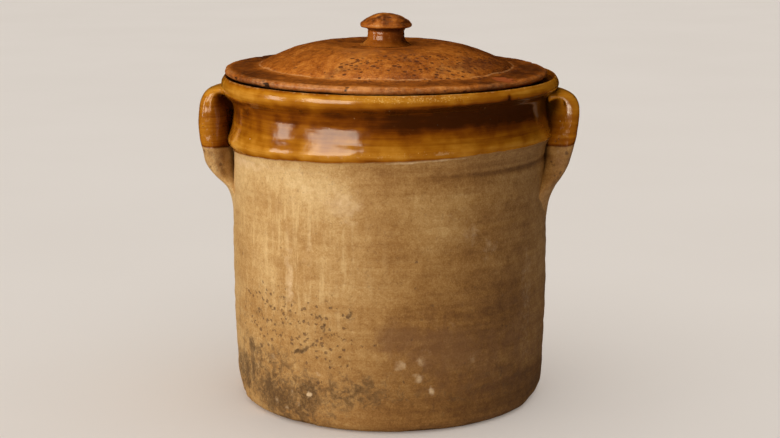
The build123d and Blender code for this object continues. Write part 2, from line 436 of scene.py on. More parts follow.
def lid_material():
    """Worn orange-brown glaze: rubbed pale on edges with a painted highlight at the front, pitted dark
    on the dome, near black in chips and with painted shade underneath.
    """
    paint = Paint("lid_glaze")
    mark, noise, sway = paint.mark, paint.noise, paint.sway
    add, times, step = paint.add, paint.times, paint.step
    cloud = noise(38, 5, 0.6, 0.8)
    mottle = noise(6, 6, 0.68, 0.3)
    grain = noise(1.3, 4, 0.65)
    smudge = noise(7, 5, 0.7, 0.5, paint.stretch(0.35, 0.35, 1.0))
    calm = paint.math("SUBTRACT", 1.0, times(mark("gloss"), 0.8))
    patches = times(sway(mottle, 1.05), calm)
    colour = paint.ramp(
        add(mark("thick_and_shade"), sway(cloud, 1.05), patches, times(sway(grain, 0.95), calm)),
        (0.0, (214, 150, 72)), (0.3, (188, 114, 42)), (0.55, (154, 84, 22)),
        (0.8, (112, 56, 14)), (1.0, (64, 30, 10)),
    )
    haze = paint.patchy("haze", mottle, 1.3, 0.2, 0.95)
    colour = paint.coat(colour, haze, 0.42, 168, 120, 76)
    rubbed_and_painted_light = paint.patchy("worn_and_highlight", noise(4, 6, 0.7, 0.4), 1.5, 0.25, 1.0)
    colour = paint.coat(colour, rubbed_and_painted_light, 0.6, 216, 160, 104)
    chipped = paint.patchy("chip", noise(4, 5, 0.7), 1.6, 0.5, 0.75)
    colour = paint.coat(colour, chipped, 0.7, 172, 90, 46)
    hole, chance, _ = paint.dots(3.2, 0.12, 0.6, 0.16, paint.stretch(0.72, 1.0, 1.0))
    few = step(paint.math("SUBTRACT", mark("pits"), chance), 0.0, 0.05)
    smear = paint.patchy("pits", smudge, 3.2, 0.6, 1.25)
    pit = paint.math("MAXIMUM", times(hole, few), times(smear, 0.6))
    colour = paint.coat(colour, pit, 0.8, 66, 28, 14)
    # pale flecks: painted glints off crystals in the glaze
    colour = paint.coat(colour, step(noise(1.0, 1, 0.5), 0.66, 0.76), 0.45, 226, 170, 108)
    # near black in the chips, and painted shade under the lid's edge
    dark_chips_and_shade = paint.patchy("dark_chips_and_shade", grain, 0.5, 0.35, 0.75)
    colour = paint.coat(colour, dark_chips_and_shade, 0.9, 34, 18, 12)
    roughness = add(0.24, times(mottle, 0.3), times(rubbed_and_painted_light, 0.08), times(pit, 0.3))
    roughness = add(roughness, times(mark("gloss"), -0.24))
    relief = add(times(grain, 0.25), times(mottle, 0.55), times(pit, -0.8), times(chipped, -0.5))
    normal = paint.bump(times(relief, calm), 0.7, 0.7)
    return paint.finish(colour, paint.math("MAXIMUM", roughness, 0.08), normal, 0.5)


def stone_material():
    """Unglazed weight stone, stained by brine."""
    paint = Paint("weight_stone")
    times = paint.times
    cloud = paint.noise(30, 5, 0.6, 0.6)
    mottle = paint.noise(6, 6, 0.65)
    grain = paint.noise(1.4, 3, 0.6)
    colour = paint.ramp(
        paint.add(times(cloud, 0.6), times(mottle, 0.4)),
        (0.25, (206, 184, 146)), (0.5, (184, 156, 112)), (0.75, (148, 116, 76)),
    )
    hole, chance, _ = paint.dots(4.5, 0.05, 0.22, 0.06)
    pit = times(hole, paint.step(chance, 0.55, 0.6))
    colour = paint.coat(colour, pit, 0.7, 88, 64, 38)
    colour = paint.coat(colour, paint.patchy("edge", mottle, 0.9, 0.3, 0.9), 0.45, 226, 208, 176)
    relief = paint.add(times(grain, 0.35), times(mottle, 0.5), times(pit, -1.0))
    return paint.finish(colour, paint.blend(grain, 0.7, 0.95), paint.bump(relief, 0.8, 0.8), 0.35)


# ---- the pot

FLOOR = 14.0  # height of the floor inside
POT_AROUND = 360
GLAZE_LINE = [(-180, 221), (-150, 225.5), (-125, 229), (-100, 231.5), (-78, 234), (-55, 236)]
GLAZE_LINE += [(-20, 236), (20, 234), (60, 231), (100, 228), (140, 225), (180, 221)]
CLIMB = 5.0  # the collar was turned out of true: its ridge climbs this far towards the right front
CLIMB_TURN = math.radians(45)


def climb(height, turn):
    """How far the collar stands above a true one at a height and an angle."""
    share = np.interp(height, [219, 230, 268, 284], [0, 1, 1, 0])
    return CLIMB * share * np.cos(turn + CLIMB_TURN)


def pot_outline():
    """Outline from the middle of the foot, up the outside, over the rim, down to the floor."""
    collar = [(138.3, 219.5), (139, 222.6), (139.5, 225.2), (140.7, 227.8), (142.6, 230.4)]
    collar += [(143.5, 233.4), (143.3, 236.4), (142, 239.8), (140.4, 244), (139.1, 249.5)]
    collar += [(138.3, 256), (138.1, 261.4), (138.9, 265.4), (141, 268.8), (144.3, 271.8)]
    collar += [(147.7, 275.2), (149, 278.5), (148.9, 281.5), (148.1, 284.5)]
    parts = [
        line((0, 0), (112, 0), 18),
        line((112, 0), (130.5, 0), 3),
        arc((130.5, 0), (135.7, 3.1), (138.2, 11), 1.5),
        arc((138.2, 11), (140.5, 118), (138.3, 219.5), 2.35),
        bend(collar + [(145.9, 287.6)], 3),
    ]
    outside = soften(sum(parts, []), 1)
    inside = [
        line((145.9, 287.6), (142.6, 286.3), 1.2),
        line((142.6, 286.3), (130.1, 286.3), 2.6),
        arc((130.1, 286.3), (128.3, 285.6), (127.6, 283.8), 1),
        arc((127.6, 283.8), (129.4, 138), (127.2, 26), 6.2),
        arc((127.2, 26), (123.7, 17.5), (115.2, FLOOR), 3),
        line((115.2, FLOOR), (0, FLOOR), 12),
    ]
    inside = sum(inside, []) + [(0, FLOOR)]
    return np.vstack([outside, inside]), len(outside)


# ovals on the wall: azimuth, height, half width and half height in mm, then strength
SHADES = [
    # pale on the upper left of the front, darker low down and at the back
    (-120, 214, 70, 12, -0.16), (-113, 200, 34, 20, -0.14), (-72, 190, 26, 28, -0.1),
    (-52, 168, 30, 22, 0.06), (-70, 212, 44, 7, 0.08), (-40, 110, 30, 40, 0.06),
    (-64, 88, 50, 30, 0.06), (-40, 30, 70, 24, 0.08), (-152, 120, 24, 60, 0.08),
]
RUNS = [
    # pale runs and soft pale areas
    (-158, 217, 34, 5, 0.5), (-137, 220, 40, 4, 0.4), (-112, 203, 34, 15, 0.3),
    (-102, 192, 14, 13, 0.4), (-123.6, 138, 2.8, 34, 0.5), (-125, 118, 4.5, 20, 0.3),
    (-116.5, 160, 4.5, 20, 0.4), (-141, 140, 3.5, 24, 0.22), (66, 125, 4, 60, 0.3),
    (118, 145, 3.2, 50, 0.3), (152, 95, 5, 50, 0.28), (-31, 104, 9, 62, 0.3),
    (-58, 170, 9, 9, 0.36), (-50, 156, 8, 9, 0.36), (-66, 178, 12, 14, 0.18),
    (-64, 96, 12, 9, 0.16), (-75, 76, 4, 26, 0.22),
]
SPLASHES = [
    # single lime spots and pale scrapes
    (-83.6, 60, 3.6, 5, 0.62), (-78.4, 49, 3.6, 4, 0.72), (-76.4, 64, 2.4, 4, 0.4),
    (-72.7, 38, 1.8, 4, 0.95), (-57, 62, 5, 7, 0.28), (-121, 22, 2.4, 3, 0.5),
    (-124, 30, 2, 3, 0.45), (-114, 50, 3, 2, 0.5), (-143, 44, 1.6, 10, 0.5),
    (-147, 52, 1.6, 6, 0.4), (-149, 26, 1.8, 14, 0.3), (-133, 56, 8, 5, 0.3),
    (-126, 12, 3, 2, 0.5), (-131, 16, 2, 3, 0.5),
]
DIRT = [
    # areas of brown-grey dirt
    (-148, 30, 44, 30, 0.52), (-122, 30, 40, 26, 0.5), (-124, 12, 40, 14, 0.36),
    (-98, 38, 30, 18, 0.42), (-135, 62, 40, 12, 0.34), (-130, 98, 54, 20, 0.28),
    (-152, 98, 10, 16, 0.2), (-60, 34, 90, 22, 0.34), (30, 40, 60, 30, 0.45),
    (95, 30, 60, 22, 0.5), (84, 120, 8, 30, 0.4), (140, 60, 40, 34, 0.45),
    (180, 30, 60, 22, 0.5),
]
DIRT_MARKS = [
    # single dark marks
    (-158.4, 79, 3.6, 9, 0.55), (-100.6, 110, 2.2, 9, 0.55), (-100.9, 102, 3.2, 4, 0.45),
    (-136, 27, 6, 6, 0.35), (-147, 40, 3, 12, 0.35), (-152, 28, 3, 14, 0.35),
    (-117.5, 34, 9, 9, 0.35), (-121, 66, 6, 3, 0.4), (-146, 61, 5, 6, 0.4),
    (-126, 110, 4, 3, 0.3), (-119, 114, 3, 3, 0.3), (-134, 112, 3, 3, 0.3),
]
PIT_AREAS = [
    # areas with pits
    (-129, 93, 52, 23, 0.62), (-112, 86, 24, 20, 0.3), (-104, 64, 30, 22, 0.25),
    (80, 70, 60, 40, 0.3),
]


def wall_marks(p, azimuth, height):
    """Where the outside is streaked, stained, pitted, glazed or rubbed, and where shade, highlights
    and glints are painted.
    """
    az = azimuth + fbm(p, 16, 3, 40) * 1.6 + fbm(p, 5, 2, 47) * 0.7
    z = height + fbm(p, 12, 3, 43) * 4
    turn = np.radians(azimuth)
    level = height - climb(height, turn)
    glaze = height - np.interp((azimuth + 180) % 360 - 180, *zip(*GLAZE_LINE)) - fbm(p, 22, 3, 5) * 0.7
    right = 0.5 + 0.5 * np.cos(turn + 0.35)

    def spots(rows, edge):
        return sum(amount * spot(az, z, *oval, edge) for *oval, amount in rows)

    # tone: pale on the left front, brown round the right, back in between
    tone = 0.5 + 0.18 * np.cos(turn + 0.3)
    tone += spots(SHADES, 0.9)
    # darker towards the foot: painted shade where the pot stands on the floor
    tone += 0.05 * smooth(-height, -150, -70) + 0.08 * smooth(-height, -60, -8)

    # pale crusts, splashes and runs
    pale = spots(RUNS, 0.8)
    pale += spots(SPLASHES, 0.6)
    runs = 0.58 * spot(az, z, -122, 150, 62, 56) + 0.16 * spot(az, z, 90, 140, 200, 60)

    # brown-grey dirt, thick and blotchy low on the left
    stain_and_shade = spots(DIRT, 0.7)
    stain_and_shade += spots(DIRT_MARKS, 0.6)
    for k in range(7):  # the diagonal scar and the arc-shaped crack
        stain_and_shade += 0.62 * spot(az, z, -114 - k * 1.2, 79 - k * 2.2, 1.6 + 0.35 * k, 1.8, 0.5)
        bow = 0.95 * math.sin(k / 6 * math.pi)
        stain_and_shade += 0.66 * spot(az, z, -111 + bow, 100 - k * 1.5, 1, 1.3, 0.5)

    # reddish scorch that starts on a slant left of the middle and runs round the right
    torn = height + 15 * fbm(p, 30, 4, 53)
    slant = azimuth + 0.42 * (torn - 96)
    red = 0.62 * smooth(slant + 8 * fbm(p, 26, 3, 51), -112, -88) * smooth(-torn, -112, -78)
    red *= 1 - 0.55 * smooth(azimuth, -70, -20)
    red *= smooth(height, 14, 40) * fade(azimuth, 100, 150)
    red += spots(((-86, 84, 16, 12, 0.3), (-66, 74, 16, 16, 0.3), (170, 60, 30, 24, 0.4)), 0.8)

    pits = 0.03 + spots(PIT_AREAS, 0.7)
    pits *= 1 - 0.8 * smooth(height, 150, 190)

    # just under the glaze: cream on the left; dark brown on the right, from painted shadow under the
    # ridge and painted shade in the fold below it
    band = smooth(height, 221, 225) * fade(glaze, -1.2, 0.4) * smooth(azimuth, -104, -60)
    tone += 0.04 * band * right
    pale -= 0.5 * band
    # fold: painted shade in the groove just under the collar
    fold = smooth(height, 214, 219) * fade(height, 219, 222)
    fold *= 0.35 + 0.65 * smooth(azimuth, -95, -70)
    tone += 0.2 * fold * right
    pale += 0.95 * spot(azimuth, glaze, -72, -1.3, 46, 1.1, 0.5)

    # the dark of the neck runs further up on the right: thicker glaze, with painted shade under the
    # rim bead and a painted dark reflection in the hollow of the neck
    dark_side = fade(azimuth, 60, 130)
    sunk = level - 3.5 * smooth(azimuth, -112, -76) * dark_side * smooth(level, 262, 270)
    thick_and_shade = np.interp(
        sunk,
        [220, 227, 231, 234, 239, 246, 255, 263, 269, 272.5, 276, 281, 285, 288],
        [0.6, 0.52, 0.36, 0.24, 0.36, 0.5, 0.62, 0.72, 0.8, 0.74, 0.42, 0.26, 0.34, 0.6],
    )
    neck = smooth(level, 247, 258) * fade(sunk, 271, 276)
    thick_and_shade += 0.36 * neck * smooth(azimuth, -112, -58) * dark_side
    thick_and_shade += 0.1 * np.cos(turn + 0.3) + 0.05 * fbm(p, 30, 2, 77) + 0.12 * fbm(p, 9, 3, 79)
    thick_and_shade += 0.14 * fade(glaze, 0.6, 2.6) * fade(azimuth, -84, -60)
    thick_and_shade += 0.5 * spot(azimuth, height, -46, 281, 2, 3, 0.5)
    # pale and rough where the rim top is worn; the pale ragged patches along the ridge at the front,
    # on the front of the rim bead and on the ridge at the right front are painted highlights
    worn_and_highlight = 0.55 * smooth(height, 284, 287.5) + 0.42 * spot(azimuth, level, -100, 233.5, 90, 2)
    worn_and_highlight += 0.3 * spot(azimuth, level, -122, 281, 40, 4, 0.5)
    worn_and_highlight += 0.5 * spot(azimuth, level, -69, 235.6, 11, 1.9)
    # painted glints: pale flecks along the top of the rim bead and along the ridge
    painted_glints = spot(azimuth, height, -80, 284.5, 56, 3.4)
    painted_glints += 0.5 * spot(azimuth, level, -80, 235, 70, 2.2)
    marks = dict(glaze=glaze, pale=pale, stain_and_shade=stain_and_shade, red=red, pits=pits, thick_and_shade=thick_and_shade, worn_and_highlight=worn_and_highlight)
    marks["tone"] = np.clip(tone, 0, 1.15)
    marks["runs"] = runs * fade(height, 205, 222)
    marks["painted_glints"] = painted_glints
    marks["blisters"] = 0.0
    return marks


# grooves and drips: azimuth, lower end, half width, relief
GROOVES = [(-161, 4, 3, -0.9), (-154, 2, 2.6, 0.9), (-149, 6, 2.4, -0.8), (-143, 10, 2.2, 0.7)]
GROOVES += [(-138.5, 14, 2.6, -0.7)]
# chips and facets: azimuth, height, half width, half height, depth
FOOT_CHIPS = [(-170, 5, 20, 11, 2.6), (-158, 2, 10, 6, 2), (-14, 6, 24, 12, 1.7), (8, 2, 16, 6, 1.4)]
FOOT_CHIPS += [(-120, 1, 8, 3, 1.2), (-75, 0, 14, 3, 1), (70, 2, 16, 5, 1.8), (110, 1, 9, 4, 1.2)]


def make_pot():
    outline, outside_count = pot_outline()
    p, faces, ring, azimuth, normal = lathe(outline, POT_AROUND)
    turn = np.radians(azimuth)
    radius, height = np.hypot(p[:, 0], p[:, 1]), p[:, 2]
    inside = ring >= outside_count
    wall = ~inside & (height > 0.2)

    lift = np.where(wall, climb(height, turn), 0)
    # out of round, throwing rings, hand-smoothed lumps
    push = 0.45 * np.cos(2 * turn + 0.7) + 0.25 * np.cos(3 * turn + 2.1)
    push = push * smooth(height, 20, 120) * fade(height, 240, 284)
    rings = np.sin((height + fbm(p, 70, 2, 3) * 6) / 1.75 + turn * 2) * 0.1
    rings += np.sin((height + fbm(p, 60, 2, 8) * 9) / 4.1 + turn) * 0.16
    push += rings * smooth(height, 10, 30) * fade(height, 268, 276)
    push += fbm(p, 34, 3, 21, (1, 1, 0.6)) * 0.3 * smooth(height, 4, 20) * fade(height, 276, 285)
    push += fbm(p, 6, 3, 25) * 0.1
    push -= 0.55 * fade(np.abs(height - 220.0 - 0.8 * fbm(p, 50, 2, 65)), 0.2, 1.5)
    # grooves, drips and chips low on the left, facets and chips at the foot
    for centre, low, width, deep in GROOVES:
        push += deep * spot(azimuth + fbm(p, 14, 2, 61) * 1.2, height, centre, low + 20, width, 24)
    push -= 1.1 * spot(azimuth, height, -116.4, 29.4, 3.4, 3.4, 0.5)
    push += 1.6 * spot(azimuth, height, -116.6, 29.8, 1.9, 1.9, 0.5)
    for *oval, deep in FOOT_CHIPS:
        push -= deep * spot(azimuth, height, *oval, 0.5)
    push = np.where(wall, push, 0)
    # throwing rings and a soft floor spiral inside
    hollow = np.sin((height + fbm(p, 60, 2, 14) * 7) / 2.6 + turn) * 0.25
    hollow += fbm(p, 26, 3, 33) * 0.3
    hollow *= fade(height, 262, 280) * (radius > 100)
    spiral = np.sin(radius / 3.2 - turn) * 0.25 * smooth(radius, 6, 30) * (radius <= 118)
    push = np.where(inside, hollow + spiral * (height < 15), push)

    moved = p + normal * push[:, None]
    moved[:, 2] += lift
    # the ledge is worn lower on the right, where the lid has sunk in
    ledge = inside & (height > 285.5) & (radius < 144.5)
    moved[:, 2] -= np.where(ledge, 0.3 + 1.15 * (1 + np.cos(turn)), 0)
    moved[:, 2] = np.maximum(moved[:, 2], np.where(wall, 0.05, -1))

    marks = wall_marks(moved, azimuth, moved[:, 2])
    marks["pale"] += 1.6 * spot(azimuth, height, -116.6, 29.8, 2.2, 2.4, 0.4)
    foot = ~inside & (height < 0.5)
    lining = 0.62 + 0.2 * fbm(p, 40, 3, 12) + 0.15 * smooth(-height, -60, -14)
    # the ledge under the lid is darker: painted shade in the gap under the lid
    lining += 0.5 * smooth(height, 284, 286) * (radius < 143.5)
    marks["thick_and_shade"] = np.where(inside, lining, marks["thick_and_shade"])
    marks["glaze"] = np.where(inside, 8, np.where(foot, -8, marks["glaze"]))
    marks["worn_and_highlight"] = np.where(inside, 0.35 * smooth(height, 280, 286), marks["worn_and_highlight"])
    marks["painted_glints"] = np.where(inside, 0, marks["painted_glints"])
    marks["stain_and_shade"] = np.where(foot, 0.5, marks["stain_and_shade"])
    pot = add_mesh("crock_pot", moved, faces, marks)
    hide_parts("crock_body")
    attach(pot, "crock")
    return pot


# ---- the handles

# outer face and inner face of the strap, then half its width, from the rim down to the tail
LEFT_STRAP = [
    # outer r, outer z, inner r, inner z, half width
    (141, 277, 141, 267, 24),
    (149, 277.6, 146, 269.5, 24),
    (157, 275.6, 147, 267, 23.5),
    (162.9, 271.6, 146, 262, 23.2),
    (167.1, 263.4, 144, 256, 23),
    (168.9, 252.2, 142.6, 248, 23),
    (169.3, 241, 142.1, 238.6, 23),
    (168.3, 229.7, 142.2, 228.5, 23.2),
    (165.7, 220, 141.2, 217.5, 23.8),
    (163, 208.6, 139.6, 206.9, 25),
    (155.4, 198.2, 136.8, 197.4, 27),
    (148.4, 189.2, 134.6, 188.6, 30),
    (144.4, 181, 134.8, 180, 33),
    (142.2, 173, 135.6, 172, 34),
    (140.9, 164.5, 136.5, 164, 31),
    (139.6, 154, 137.6, 154, 25),
]
RIGHT_STRAP = [
    (141, 275, 141, 264, 24),
    (148.5, 275.6, 143, 267.5, 24),
    (154.4, 274.8, 142.8, 265, 23.5),
    (160, 271.8, 141.6, 260.5, 23.2),
    (164.1, 266.6, 140, 255.5, 23.2),
    (165.6, 260, 138.8, 251, 23.5),
    (165.3, 250, 137.4, 244.5, 24.5),
    (163.6, 237.4, 135.6, 235.5, 26),
    (160.6, 225.3, 134.6, 225, 28.5),
    (157.2, 211.8, 134, 213, 32),
    (152.8, 199.5, 133.6, 201, 35),
    (147.8, 189, 133.6, 190, 37.5),
    (144.6, 181.5, 134.5, 181, 38.5),
    (142.4, 174.5, 135.5, 173, 37),
    (141, 166, 136.6, 164.5, 33),
    (139.6, 155, 137.6, 155, 26),
]
STRAP_AROUND = 72
STRAP_RADIUS = 142.0  # radius at which a strap's width is measured
STRAP_ROOT = 132.0  # no part of a strap goes deeper into the wall than this


def make_handle(name, node, side, strap, skew, tongue, dip_line, rooted):
    """Pulled strap that hugs the pot's curve.

    Skew brings its rear edge nearer to the pot; rooted fills the undercut of its lower sides.
    """
    stations = curve(strap, 7)
    rings = len(stations)
    phi = np.arange(STRAP_AROUND) * math.tau / STRAP_AROUND
    low = np.arange(rings)[:, None] / (rings - 1)
    full = 0.66 - 0.48 * rooted * smooth(low, 0.34, 0.48) * (np.sin(phi) < 0)
    across = np.sign(np.cos(phi)) * np.abs(np.cos(phi)) ** full
    out = (np.sign(np.sin(phi)) * np.abs(np.sin(phi)) ** 0.78)[None, :]
    outer, inner, half = stations[:, :2], stations[:, 2:4], stations[:, 4:]
    middle = (outer + inner) / 2
    reach = (outer - inner) / 2
    along = across * half
    free = smooth(middle[:, :1], 140, 148)
    r = middle[:, :1] + out * reach[:, :1]
    z = middle[:, 1:] + out * reach[:, 1:]
    # rounder shoulders on the outside, finger groove marks left by pulling
    r = r - free * 1.8 * np.abs(across) ** 3 * (out > 0)
    pulled = 0.12 if side < 0 else 0.08
    r = r + pulled * np.cos(along / 4.2) * free * (out > 0.3)
    r = r - skew * np.clip(along / 24, -1.2, 1.2) * free * side
    r = np.maximum(r, STRAP_ROOT)
    # the tail is smeared into the wall, so its edges run out flush
    tail = smooth(low, 0.68, 0.9)
    wall = 140.5 - 2.2 * ((z - 118) / 102) ** 2
    swell = (outer[:, :1] - wall) * np.cos(np.clip(np.abs(across), 0, 1) * math.pi / 2) ** 1.6
    smeared = wall + swell * (out > 0) - 1.4 * np.abs(across) ** 6 - 3.5 * smooth(-out, -0.05, 0.5)
    r = r + (smeared - r) * tail
    spread = smooth(low, 0.58, 0.8) * tongue * np.clip(-along * side / 30, 0, 1.4)
    along = along - side * spread
    z = z + 0.4 * spread
    turn = along / STRAP_RADIUS
    p = np.stack([side * r * np.cos(turn), side * r * np.sin(turn), z], -1)
    start, end = p[0].mean(0), p[-1].mean(0)
    spine = np.vstack([np.repeat(p.mean(1), STRAP_AROUND, 0), start, end])
    p = np.vstack([p.reshape(-1, 3), start, end])
    faces = [face[::-1] for face in tube_faces(rings, STRAP_AROUND)]
    outward = p - spine
    outward /= np.maximum(np.linalg.norm(outward, axis=1), 1e-6)[:, None]
    bumpy = fbm(p, 18, 3, 71 + side) * 0.45 + fbm(p, 5, 2, 75 + side) * 0.15
    p = p + outward * (bumpy * (1 - 0.6 * np.append(np.repeat(tail, STRAP_AROUND), [0, 0])))[:, None]

    azimuth = np.degrees(np.arctan2(p[:, 1], p[:, 0]))
    radius, height = np.hypot(p[:, 0], p[:, 1]), p[:, 2]
    face = np.append(np.tile(out[0], rings), [0, 0])
    edge = np.append(np.abs(across).ravel(), [0, 0])
    marks = wall_marks(p, azimuth, height)
    own = smooth(radius, 143, 151)
    right = side > 0
    # hidden: the left strap's side that faces the pot, given painted shade through darker tone, more
    # stain and red, and darker glaze
    hidden = smooth(-face, -0.25, 0.75) * (not right)
    grubby = 0.1 * fbm(p, 20, 3, 94)
    clay = {
        "tone": 0.45 + 0.23 * right + 0.12 * hidden + grubby - 0.2 * smooth(-height, -200, -178),
        # pale edges on the right strap: a painted highlight on its rounded corners
        "pale": 0.12 + 0.08 * smooth(edge, 0.9, 1) * right,
        "runs": 0,
        "stain_and_shade": 0.16 + 0.3 * hidden + grubby,
        "red": 0.35 + 0.3 * hidden,
        "pits": 0.2,
    }
    for key, value in clay.items():
        marks[key] = marks[key] * (1 - own) + value * own
    dip = height - dip_line - 0.05 * (radius - 155) - fbm(p, 12, 2, 90 + side) * 0.8
    marks["glaze"] = dip
    thick_and_shade = 0.33 + 0.13 * right + 0.28 * hidden - 0.1 * smooth(height, 262, 276)
    marks["thick_and_shade"] = thick_and_shade + 0.12 * fbm(p, 22, 2, 97) + 0.3 * fade(dip, 0.5, 3)
    marks["worn_and_highlight"] = 0.32 * smooth(edge, 0.85, 1) * (face > -0.2) + 0.12
    marks["painted_glints"] = 0.12
    marks["blisters"] = 1.0
    handle = add_mesh(name, p, faces, marks)
    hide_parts(node)
    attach(handle, "crock")
    return handle


# ---- the lid

LID_AROUND = 320
KNOB_AROUND = 128
LID_SHIFT = -3.5  # the lid has slid this far to the left on its ledge
LID_TILT = 1.15 / 142  # its right edge has sunk and its left edge stands up
LID_SEAT = 0.35  # the ledge is worn by this much in the middle


def seat_lid(p):
    """Shifts and tips points drawn about the pot's axis to how the lid lies."""
    q = p.copy()
    q[:, 0] += LID_SHIFT
    q[:, 2] -= LID_TILT * p[:, 0] + LID_SEAT
    return q


def lid_outline():
    """Outline from under the middle of the dome, round the edge, to the middle on top."""
    under = [
        line((0, 304.6), (58, 304.2), 9),
        bend([(58, 304.2), (80, 300.6), (98, 294.2), (108.5, 288)], 5),
        line((108.5, 288), (113, 288), 2),
        line((113, 288), (113.6, 276.3), 2.2),
        arc((113.6, 276.3), (118.2, 273.3), (122.8, 276.3), 1.5),
        line((122.8, 276.3), (123.4, 286.6), 2.2),
        line((123.4, 286.6), (132, 286.6), 2.2),
        arc((132, 286.6), (137.9, 287.1), (141.2, 289), 1.2),
        arc((141.2, 289), (142, 291), (141, 293), 0.5),
    ]
    top = [
        arc((141, 293), (139.8, 293.6), (138.4, 293.9), 0.6),
        line((138.4, 293.9), (112.5, 295.7), 1.7),
        arc((112.5, 295.7), (110.6, 296.3), (109.3, 297.4), 0.8),
        bend([(109.3, 297.4), (104, 300.4), (85, 308.2), (68, 312.8), (55, 314.6)], 10),
        arc((55, 314.6), (51, 314.75), (47.5, 314), 1),
        line((47.5, 314), (44, 313.6), 1.2),
        line((44, 313.6), (0, 313.5), 4),
    ]
    outline = soften(sum(under, []), 1), soften(sum(top, []) + [(0, 313.5)], 1)
    return np.vstack(outline)


# azimuth, height, half width, depth
EDGE_CHIPS = [(-131.5, 290.3, 3.6, 1.6), (-151, 290.8, 3, 0.9), (-38, 292, 12, 1.3)]
EDGE_CHIPS += [(-100, 291.5, 3, 0.7), (20, 291, 6, 1.3), (95, 291, 5, 1.5), (150, 291, 4, 1.2)]


def make_lid():
    p, faces, _, azimuth, normal = lathe(lid_outline(), LID_AROUND)
    turn = np.radians(azimuth)
    radius, height = np.hypot(p[:, 0], p[:, 1]), p[:, 2]
    top = normal[:, 2] > -0.3
    push = fbm(p, 45, 3, 103) * 0.45 + fbm(p, 9, 3, 107) * 0.16 + fbm(p, 3.4, 2, 109) * 0.06
    push += np.sin(radius / 1.9 + turn + fbm(p, 60, 2, 111) * 2) * 0.09
    edge = smooth(radius, 134, 140)
    push -= edge * np.maximum(fbm(p, 13, 3, 113), 0) * 0.5
    for centre, level, width, deep in EDGE_CHIPS:
        push -= deep * spot(azimuth, height, centre, level, width, 3, 0.5)
    push *= np.where((radius < 125) & (height < 305), 0.5, 1)
    push = np.where((height < 287.6) & (radius > 122), 0, push)  # the face that rests on the ledge
    moved = seat_lid(p + normal * push[:, None])

    # warped coordinates so that worn rings come and go
    loose = radius + fbm(p, 14, 3, 121) * 1.5

    def ring_line(centre, half, solid=0):
        return fade(np.abs(loose - centre), solid, half)

    def patch(px, py, size):
        return fade(np.hypot(p[:, 0] - px, p[:, 1] - py) / size, 0.4, 1.2)

    arcs = np.clip(0.5 + 0.6 * fbm(p, 24, 3, 125), 0, 1)
    front = 0.5 - 0.5 * np.sin(turn)
    right = 0.5 + 0.5 * np.cos(turn)
    worn_and_highlight = 1.05 * ring_line(111.5, 2) * (0.5 + 0.5 * arcs) + 0.45 * ring_line(52.5, 2.4) * arcs
    # painted highlight along the top of the edge and a paler band inside it, both strongest at the
    # front
    worn_and_highlight += 0.6 * smooth(radius, 135, 139.5) * (0.35 + 0.65 * front) * (0.7 + 0.4 * arcs)
    worn_and_highlight += 0.25 * ring_line(128, 6) * front * arcs
    thick_and_shade = 0.52 + 0.12 * fbm(p, 60, 2, 131)
    thick_and_shade += 0.22 * smooth(radius, 112, 120) * fade(radius, 134, 139)
    thick_and_shade += 0.1 * fade(radius, 40, 62) + 0.08 * right * (radius < 112) * smooth(radius, 30, 90)
    thick_and_shade += 0.22 * (1 - front)
    thick_and_shade -= 0.1 * patch(-10, -84, 40)
    thick_and_shade += 0.06 * patch(92, -20, 34)
    pits = 0.8 * patch(-22, -90, 16) + 0.7 * patch(-38, -98, 10) + 0.55 * patch(14, -88, 22)
    pits += 0.62 * patch(44, -74, 24) + 0.6 * patch(70, -58, 24) + 0.5 * patch(84, -30, 24)
    pits += 0.62 * ring_line(116, 9, 2) * smooth(p[:, 0], -50, -10) * (p[:, 1] < 0)
    pits += 0.44 * ring_line(100, 16, 3) * smooth(p[:, 0], 0, 50) * (p[:, 1] < 20)
    pits += 0.3 * patch(30, 80, 40) + 0.25 * patch(-70, 60, 30) + 0.05
    pits = np.where(top, pits, 0.1)
    haze = 0.4 * patch(-20, -60, 26) + 0.36 * patch(20, -66, 22) + 0.2 * smooth(radius, 112, 126)
    haze += 0.3 * ring_line(49, 7)
    chip = 0.6 * spot(azimuth, height, -37, 294.2, 12, 1.8, 0.5) * (radius > 118)
    chip += 0.55 * patch(101, -80, 9) * (radius > 112)
    # near black in three chips of the edge, and painted shade on the underside that rests in the gap
    # on the ledge
    dark_chips_and_shade = 1.3 * spot(azimuth, height, -131.5, 290.4, 3.4, 2.6, 0.4)
    dark_chips_and_shade += 1.1 * spot(azimuth, height, -151, 290.4, 2.4, 1.8, 0.4)
    dark_chips_and_shade += 0.9 * spot(azimuth, height, -100, 291, 1.6, 1.5, 0.4)
    dark_chips_and_shade += 0.9 * fade(height, 287.4, 288.8) * (radius > 123)
    haze = np.where(top, haze, 0)
    marks = dict(thick_and_shade=thick_and_shade, worn_and_highlight=worn_and_highlight, pits=pits, haze=haze, chip=chip, dark_chips_and_shade=dark_chips_and_shade, gloss=0.0)
    lid = add_mesh("lid_dome", moved, faces, marks)
    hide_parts("lid_plate")
    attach(lid, "lid")
    return lid


